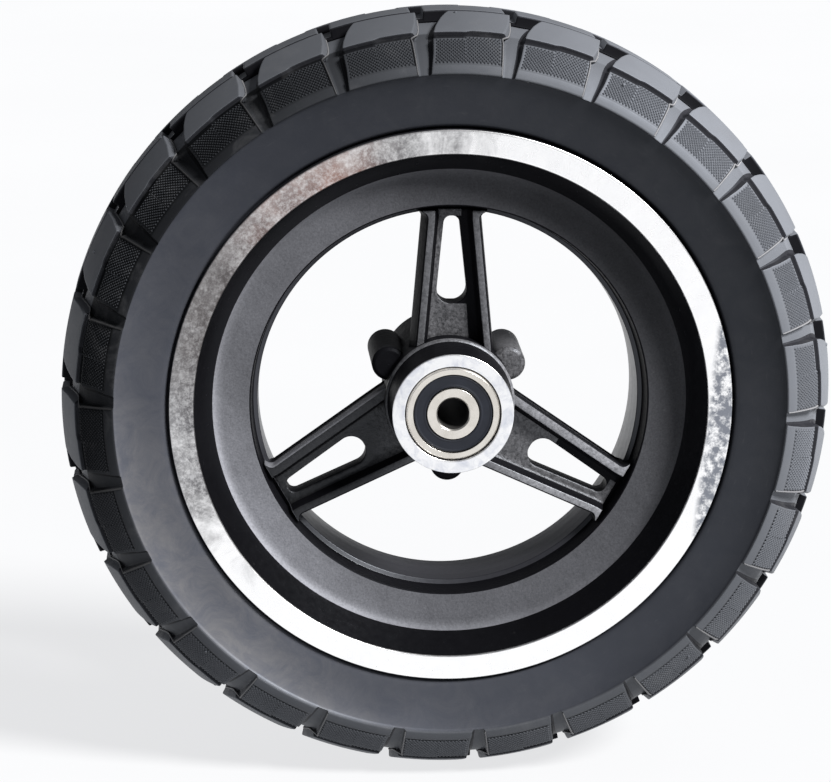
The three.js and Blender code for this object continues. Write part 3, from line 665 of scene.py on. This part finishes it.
    # thin flash line along each lug's far end
    path_s = np.concatenate([np.linspace(2.5, S_STEP - 0.5, 9), np.linspace(S_STEP + 0.4, S_END - 0.2, 9)])
    top_t = g_left_top(path_s)
    low_t = g_left_bottom(path_s)
    k = np.clip((path_s - (S_STEP - 5)) / 6.0, 0, 1)
    gap = low_t + 0.15 + (top_t - 0.12 - low_t - 0.15) * k
    h0 = -2.4 * (1 - k) + 0.02
    Pp = np.interp(path_s, BS, BASE[:, 0]) * math.radians(PITCH)
    ring = []
    for ct, ch in ((-0.34, -0.3), (-0.16, 0.17), (0.12, 0.19), (0.32, -0.34)):
        R1, y1, R0 = on_base(path_s - JOG * np.interp(path_s, [7, S_STEP - 1.2, S_STEP + 1.2, S_KN - 0.6], [0, 1, 1, 0]), h0 + ch)
        ring.append((R1, -y1 if side > 0 else y1, np.degrees((Pp - gap + ct) / R0)))
    RR = np.stack([c[0] for c in ring], 1)
    RY = np.stack([c[1] for c in ring], 1)
    RD = np.stack([c[2] for c in ring], 1)
    lines = []
    for a0 in lugs:
        lines.append((around(RR, RY, RD + a0).reshape(-1, 3), grid(len(path_s), 4, close_j=True, flip=side < 0), True, 1))
    parts += lines
    return parts


def centre_row():
    rows = [(-7.6, -3.5), (-6.95, -3.5), (-6.75, -3.2), (-6.62, -0.6), (-6.45, -0.14), (-6.1, 0.0), (-4.6, 0.0), (-3.0, 0.0), (-1.5, 0.0), (0.0, 0.0)]
    rows = rows + [(-a, b) for a, b in rows[-2::-1]]
    Y = np.array([r[0] for r in rows])
    top = np.array([r[1] for r in rows])
    base = np.array([crown_at(v) for v in Y])
    pitch_mm = TOP_R * math.radians(PITCH)
    keys = [(-2.3, 1.0), (-2.1, 0.93), (-1.95, 0.1), (-1.7, 0.0), (0.0, 0.0), (1.6, 0.0), (1.85, 0.1), (2.05, 0.93), (2.3, 1.0)]
    body = [(v, 1.0) for v in np.linspace(2.9, pitch_mm - 2.9, 14)]
    cols = keys + body
    pos = np.array([c[0] for c in cols])
    share = np.array([c[1] for c in cols])
    low = np.minimum(top, -2.6)
    H = low[:, None] + (top - low)[:, None] * share[None, :]
    R = base[:, None] + H
    deg = np.degrees(pos / TOP_R)
    lugs = np.arange(26) * PITCH + PHASE
    D = (deg[None, :] + lugs[:, None]).reshape(-1)
    R = np.repeat(R[:, None, :], 26, 1).reshape(len(Y), -1)
    v = around(R, Y[:, None] + 0 * R, D[None, :] + 0 * R)
    f = grid(len(Y), len(D), close_j=True, flip=True)
    # painted shade: the centre blocks' side walls, beyond 6.4 mm from the middle, take the near-black recess rubber
    ylow = np.abs(Y[f // len(D)]).min(axis=1)
    return [(v.reshape(-1, 3), f, True, np.where(ylow > 6.4, 2, 0))]


def vents():
    """Small moulding nibs left on some lugs."""
    parts = []
    for s, t, deg0 in ((S_STEP + 3.0, 9.0, 40.8 - 12), (S_STEP + 5.2, 7.0, 128), (3.0, 12.0, -5.0), (6.0, 16.0, 290), (S_STEP + 8.0, 16.0, 222), (4.0, 9.0, 75)):
        k = round((deg0 - PHASE) / PITCH)
        R, y, R0 = on_base(np.array([s, s]), np.array([-0.3, 0.42]))
        d = math.degrees(t / R0[0]) + PHASE + k * PITCH
        c0, c1 = around(R[0], y[0], d), around(R[1], y[1], d)
        ax = (c1 - c0) / np.linalg.norm(c1 - c0)
        u = np.cross(ax, [0.3, 0.8, 0.5])
        u /= np.linalg.norm(u)
        w = np.cross(ax, u)
        rings = []
        for c, rr in ((c0, 0.55), (c1 - ax * 0.12, 0.5), (c1, 0.3), (c1, 0.01)):
            a = np.linspace(0, 2 * np.pi, 12, endpoint=False)[:, None]
            rings.append(c + rr * (np.cos(a) * u + np.sin(a) * w))
        parts.append((np.concatenate(rings), grid(4, 12, close_j=True), True, 0))
    return parts


tyre_parts = shoulder(-1, 0.0) + shoulder(1, PITCH / 2) + centre_row() + vents()
tyre = make("tyre_moulded", tyre_parts, [RUBBER, FLASH_HIGHLIGHT, RECESS_SHADE])
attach(tyre, "wheel")
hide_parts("tyre")

# ------------------------------------------------------------------ rim casting
rim_half = [
    (61.2, -0.9, 0.5), (61.35, -6.0, 0), (61.65, -10.8, 0.5), (63.2, -11.5, 0.5), (BORE_R, -LEDGE_Y, 0.5), (75.0, -LEDGE_Y, 3.4), (77.2, -21.9, 0.8),
    (LIP_IN, -LIP_Y, 0.35), (LIP_R, -LIP_Y, 0.4), (LIP_R, -25.6, 0.3), (84.8, -23.6, 0.6), (82.6, -21.4, 0.6), (82.6, -14.0, 1.2), (69.1, -9.8, 3.0),
]
rim_outline = rounded(rim_half + [(r, -y, f) for r, y, f in reversed(rim_half)], closed=True, n=5)


def rim_material(r, y):
    if r > 82.0 and abs(y) > LIP_Y - 0.32:
        return 1
    if 64.45 < r < 76.6 and 18.0 < abs(y) < 21.2:
        return 2
    # painted shade: a near-black line on the ledge's inner edge
    if 63.0 < r < 64.5 and 10.0 < abs(y) < 19.5:
        return 7
    if 76.5 < r < 82.5 and abs(y) > 20.0:
        return 6
    return 0


casting = [lathe(rim_outline, 288, material_of=rim_material)]

hub_half = [(12.4, -25.5, 0.3), (15.35, -25.5, 0.2), (15.35, -HUB_Y + 0.0, 0.28), (19.35, -HUB_Y, 0.3), (20.05, -COLLAR_Y - 0.6, 0.5), (COLLAR_R + 0.1, -COLLAR_Y, 0.95),
            (COLLAR_R, -5.0, 0.6), (20.1, -4.0, 0.4)]


def hub_material(r, y):
    if abs(y) > HUB_Y - 0.32 or (r < 15.5 and abs(y) > 25.3):
        return 3
    # painted highlight: a light arc of the lighter rib paint on the collar's rounded edge
    if r > COLLAR_R - 1.0 and -COLLAR_Y - 0.5 < y < -COLLAR_Y + 1.3:
        return 5
    # painted shade: the rest of the hub, barrel and bore, takes the near-black shade paint
    return 7


hub_outline = hub_half + [(20.1, 18.0, 0), (19.35, HUB_Y, 0.3), (15.35, HUB_Y, 0.28), (15.35, 25.5, 0.2), (12.4, 25.5, 0.3)]
casting.append(lathe(rounded(hub_outline, closed=True, n=4), 192, material_of=hub_material))

SPOKE_TOP, SPOKE_REAR, WEB_Y = -17.0, -4.5, -13.0
R0S, R1S, RAD0, RAD1 = 36.0, 57.3, 4.8, 2.6
END_R, GROOVE_Y = 62.15, -11.6


def slot_half(r):
    lean = math.asin((RAD0 - RAD1) / (R1S - R0S))
    ra, rb = R0S + RAD0 * math.sin(lean), R1S + RAD1 * math.sin(lean)
    wa, wb = RAD0 * math.cos(lean), RAD1 * math.cos(lean)
    if r <= R0S - RAD0 or r >= R1S + RAD1:
        return 0.0
    if r < ra:
        return math.sqrt(max(0.0, RAD0 ** 2 - (r - R0S) ** 2))
    if r > rb:
        return math.sqrt(max(0.0, RAD1 ** 2 - (r - R1S) ** 2))
    return wa + (wb - wa) * (r - ra) / (rb - ra)


def spoke_half(r):
    w = 13.2 + (9.55 - 13.2) * (r - 21) / 40
    if r > 59.2:
        t = min(1.0, (r - 59.2) / 2.4)
        w += 2.2 * (1 - math.sqrt(max(0.0, 1 - t * t)))
    return w


def spoke_rows(rs, raised, shift):
    """Half cross-sections along a spoke. A raised flank leans in towards the rear; shift moves the rib inwards."""
    half = []
    for r in rs:
        hw, vo = slot_half(r), spoke_half(r)
        vi = (spoke_half(min(r, 59.2)) - 3.3) - shift
        top, web = SPOKE_TOP, WEB_Y
        if r > END_R + 0.01:
            top = web = GROOVE_Y
        elif r > END_R - 0.05:
            top, web = SPOKE_TOP + 0.5, WEB_Y + 0.4
        elif r > END_R - 0.2:
            top, web = SPOKE_TOP + 0.12, WEB_Y + 0.1
        rise = top - web
        closed_here = hw < 0.02
        e = 0.0 if closed_here else 1.0
        inner = vi - 1.75
        fl = [hw + 0.5 * e + (inner - hw - 0.5 * e) * t for t in (0.0, 0.33, 0.66, 1.0)]
        flat = abs(rise) < 0.2
        draft = 0.0 if flat else 0.35
        face = vo - (0.0 if flat else (0.15 if raised else 0.75 + shift))
        mid_y = (top + SPOKE_REAR) / 2
        pts = [(hw + 0.25 * e, SPOKE_REAR - 0.4 * e), (hw + 0.12 * e, (SPOKE_REAR + web) / 2), (hw, web + 0.55 * e), (hw + 0.14 * e, web + 0.16 * e)]
        pts += [(f, web) for f in fl]
        pts += [(vi - 1.25, web + 0.12 * rise), (vi - 0.85, web + 0.34 * rise), (vi - 0.2, web + 0.86 * rise), (vi + draft * 0.2, web + 0.97 * rise), (vi + draft, top),
                ((vi + draft + face) / 2, top), (face - 0.42, top), (face - 0.10, top + 0.12), (face + 0.06, top + 0.42), (vo, mid_y - 0.3), (vo, mid_y + 0.5),
                (vo - 0.35, SPOKE_REAR - 0.7), (vo - 0.6, SPOKE_REAR - 0.12), (vo - 1.2, SPOKE_REAR), ((vo + hw) / 2, SPOKE_REAR), (hw + 0.7 * e, SPOKE_REAR)]
        if raised:
            pts = [(q - (0.7 * min(1.0, max(0.0, (yy + 14.0) / 6.0)) if i_ in (15, 16, 17, 18, 19) else 0.0), yy) for i_, (q, yy) in enumerate(pts)]
        half.append(pts)
    return np.array(half)                       # rows x points x (v, y)


def spoke(angle):
    """One spoke as a loft along its length: edge ribs, recessed web and a through slot."""
    rs = list(np.linspace(15.6, 30.6, 11)) + [R0S - RAD0 - 0.05]
    rs += [R0S - RAD0 * math.cos(t) for t in np.linspace(0.0, math.pi / 2, 15)]
    rs += list(np.linspace(R0S + 0.8, R1S - 0.4, 18))
    rs += [R1S + RAD1 * math.sin(t) for t in np.linspace(0.0, math.pi / 2, 13)]
    rs += [60.3, 61.1, END_R - 0.32, END_R - 0.12, END_R, END_R + 0.03, 62.6, 63.1, 63.7]
    rs = np.array(sorted(rs))
    halves = {"plain": spoke_rows(rs, False, 0.0), "raised": spoke_rows(rs, True, 0.0), "inset": spoke_rows(rs, False, 0.95)}
    flanks = {(330, 1): "raised", (210, -1): "raised", (90, 1): "inset"}
    n, m = halves["plain"].shape[:2]
    a = math.radians(angle)
    u = np.array([math.cos(a), 0, math.sin(a)])
    w = np.array([-u[2], 0, u[0]])
    parts = []
    closed = np.array([slot_half(r) < 0.02 for r in rs])
    for sgn in (1, -1):
        half = halves[flanks.get((angle, sgn), "plain")]
        lean = 0.15 + 0.55 * np.clip((61 - rs) / 40, 0, 1)
        v = rs[:, None, None] * u + (sgn * half[:, :, 0] - lean[:, None])[:, :, None] * w + half[:, :, 1][:, :, None] * np.array([0, 1, 0])
        f = grid(n, m, close_j=True, flip=sgn < 0)
        i = f.min(axis=1) // m
        i = np.minimum(i, n - 2)
        jj = (f % m)
        wallish = np.isin(jj, (0, 1, 2)).all(axis=1) | (np.isin(jj, (m - 1, 0)).all(axis=1))
        both = closed[i] & closed[i + 1]
        keep = ~(wallish & both)
        out = rs[i] < END_R - 0.01
        webby = np.isin(jj, (3, 4, 5, 6, 7, 8)).all(axis=1) & out
        ribby = (jj >= 10).all(axis=1) & (jj <= 17).all(axis=1) & out
        # painted light and shade: the web and rib front faces take the lighter web and rib paints, every other face the
        # near-black shade paint
        mats = np.where(webby, 4, np.where(ribby, 5, 7))
        shadow = (jj >= 8).all(axis=1) & (jj <= 11).all(axis=1) & out
        if (angle, sgn) in ((90, -1), (330, 1)):
            shadow |= (jj >= np.where(closed[i], 6, 3)[:, None]).all(axis=1) & (jj <= 9).all(axis=1) & out
        if (angle, sgn) == (330, 1):
            shadow &= (jj >= 7).all(axis=1) | (rs[i] > 37.5)
        # painted shade on the outer flanks; the lower-left spoke's cw flank takes the lighter cast paint instead, as
        # painted light
        flank = (jj >= 14).all(axis=1) & (jj <= 17).all(axis=1) & out
        mats = np.where(shadow, 7, np.where(flank, 2 if (angle, sgn) == (210, -1) else 7, mats))
        # painted light: the end of the lower-left spoke next to the rim takes the lighter cast paint
        if angle == 210:
            mats = np.where((rs[i] > END_R - 0.36) & out & (jj >= 4).all(axis=1) & (jj <= 14).all(axis=1), 2, mats)
        parts.append((v.reshape(-1, 3), f[keep], True, mats[keep]))
    return parts


for angle in (90, 210, 330):
    casting += spoke(angle)

for k, angle in enumerate((30, 150, 270)):
    a = math.radians(angle)
    prof = rounded([(0.02, -12.4, 0), (4.4, -12.2, 1.0), (5.55, -11.3, 0.9), (5.75, 15.5, 0.4), (2.6, 15.5, 0.35), (2.1, 15.0, 0), (2.1, 1.6, 0), (0.02, 0.6, 0)], closed=True, n=4)
    # painted light and shade: the right boss takes the lighter web paint, the other two the near-black shade paint
    casting.append(lathe(prof, 48, mat=4 if k == 0 else 7, axis=(22.3 * math.cos(a), 22.3 * math.sin(a))))

rim = make("rim_casting", casting, [PAINT, LIP, CAST, FACE, WEB, RIB, GLOSS, SHADE])
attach(rim, "wheel")
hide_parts("wheel_rim")


# --------------------------------------------------------------------- bearings
def bearing(prefix, side):
    def y(t):
        return side * (34.8 - t)

    def turned(name, outline, mat, node, body, segs=144, n=3):
        pts = [(r, y(t), f) for r, t, f in outline]
        # bore faces inside r 5.15 mm take the dark spacer paint: painted shade in the bore
        o = make(name, [lathe(rounded(pts, closed=True, n=n, support=0.12), segs, material_of=lambda r, y: 1 if r < 5.15 else 0)], [mat, BORE_SHADE])
        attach(o, body)
        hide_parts(node)
        return o

    race = [(10 + 2.42 * math.cos(t), 4.5 - 2.42 * math.sin(t), 0) for t in np.linspace(-0.78, 0.78, 9)]
    turned(f"{prefix}_outer_ring_ground",
           [(14.45, 0.0, 0.12), (15.0, 0.6, 0.15), (15.0, 8.4, 0.15), (14.45, 9.0, 0.12), (12.75, 9.0, 0.1), (12.75, 7.9, 0), (12.2, 7.5, 0)] + race[::1]
           + [(12.2, 1.5, 0), (12.75, 1.1, 0), (12.75, 0.0, 0.1)],
           STEEL, f"{prefix}_outer_ring", "wheel")
    race = [(10 - 2.42 * math.cos(t), 4.5 - 2.42 * math.sin(t), 0) for t in np.linspace(0.78, -0.78, 9)]
    turned(f"{prefix}_inner_ring_ground",
           [(5.5, 0.0, 0.12), (8.25, 0.0, 0.12), (8.25, 2.0, 0)] + race[::1] + [(8.25, 7.0, 0), (8.25, 9.0, 0.12), (5.5, 9.0, 0.12), (5.0, 8.5, 0.1), (5.0, 0.5, 0.1)],
           STEEL, f"{prefix}_inner_ring", "axle_core")
    for name, t0, d in (("outboard", 0.28, 1), ("inboard", 8.72, -1)):
        turned(f"{prefix}_{name}_seal_moulded",
               [(8.55, t0 + 0.22 * d, 0.08), (9.0, t0, 0.12), (9.55, t0 + 0.16 * d, 0.1), (11.6, t0 + 0.16 * d, 0.1), (12.1, t0, 0.15), (12.55, t0 + 0.25 * d, 0.1), (12.5, t0 + 0.95 * d, 0.1), (8.6, t0 + 0.95 * d, 0.1)],
               SEAL, f"{prefix}_{name}_seal", "wheel")
    for k in range(8):
        a = math.radians(22.5 + 45 * k)
        lat = np.linspace(0, math.pi, 17)
        prof = np.stack([2.381 * np.sin(lat), y(4.5) - 2.381 * np.cos(lat)], 1)
        prof[0, 0] = prof[-1, 0] = 0.004
        o = make(f"{prefix}_ball_{k + 1}_polished", [lathe(prof, 32, axis=(10 * math.cos(a), 10 * math.sin(a)))], [BALL])
        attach(o, f"{prefix}_ball_{k + 1}_roll")
        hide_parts(f"{prefix}_ball_{k + 1}")
    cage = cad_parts[f"{prefix}_cage"]
    cage.data.materials.clear()
    cage.data.materials.append(CAGE)


bearing("front", -1)
bearing("rear", 1)

spacer = make("spacer_tube_turned", [lathe(rounded([(5.3, -25.5, 0.2), (7.4, -25.5, 0.3), (7.4, 25.5, 0.3), (5.3, 25.5, 0.2)], closed=True, n=3), 96)], [BORE_SHADE])
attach(spacer, "axle_core")
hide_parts("spacer_tube")

# ------------------------------------------------------------------------ stage
fm, fnt, fb = nodes_of("floor_paper")
fn = noise(fnt, 3.0, 4)
fnt.links.new(ramp(fnt, fn, [(0.3, (0.108, 0.109, 0.11)), (0.7, (0.118, 0.119, 0.12))]), fb.inputs["Base Color"])
fb.inputs["Emission Color"].default_value = (0.98, 0.985, 1.0, 1)
fb.inputs["Emission Strength"].default_value = 0.76
fb.inputs["Roughness"].default_value = 0.75
floor = make("floor", [([(-9000, -9000, -124.96), (9000, -9000, -124.96), (9000, 9000, -124.96), (-9000, 9000, -124.96)], [[0, 1, 2, 3]], False, 0)], [fm])

world = bpy.data.worlds.new("soft_studio")
bpy.context.scene.world = world
world.use_nodes = True
bg = world.node_tree.nodes["Background"]
bg.inputs[0].default_value = (0.93, 0.95, 1.0, 1)
bg.inputs[1].default_value = 0.20


def softbox(name, where, at, size, power, colour=(1, 1, 1), size_y=None):
    d = bpy.data.lights.new(name, "AREA")
    d.shape = "RECTANGLE"
    d.size, d.size_y = size, size_y or size
    d.energy = power
    d.color = colour
    o = bpy.data.objects.new(name, d)
    bpy.context.scene.collection.objects.link(o)
    o.location = where
    o.rotation_mode = "QUATERNION"
    o.rotation_quaternion = (Vector(at) - Vector(where)).to_track_quat("-Z", "Y")
    return o


def sun(name, source, strength, spread, colour=(1, 1, 1)):
    d = bpy.data.lights.new(name, "SUN")
    d.energy = strength
    d.angle = math.radians(spread)
    d.color = colour
    o = bpy.data.objects.new(name, d)
    bpy.context.scene.collection.objects.link(o)
    o.rotation_mode = "QUATERNION"
    o.rotation_quaternion = (-Vector(source)).to_track_quat("-Z", "Y")
    return o


sun("key_top_right", (0.62, -0.50, 0.72), 7.4, 16, (1.0, 0.99, 0.975))

cam_data = bpy.data.cameras.new("camera")
cam = bpy.data.objects.new("camera", cam_data)
bpy.context.scene.collection.objects.link(cam)
bpy.context.scene.camera = cam
cam_data.sensor_fit = "HORIZONTAL"
cam_data.sensor_width = 36.0
cam_data.lens = 3171.7 / 831 * 36.0
cam_data.clip_start, cam_data.clip_end = 0.05, 60
right = Vector((0.99814837, -0.05974403, 0.01142308)).normalized()
fwd = Vector((0.06077287, 0.97166006, -0.22843683)).normalized()
up = right.cross(fwd).normalized()
right = fwd.cross(up).normalized()
M = Matrix((right, up, -fwd)).transposed().to_4x4()
M.translation = Vector((-0.07301145, -1.00872852, 0.23649712))
cam.matrix_world = M

vs = bpy.context.scene.view_settings
vs.view_transform = "Standard"
vs.look = "None"
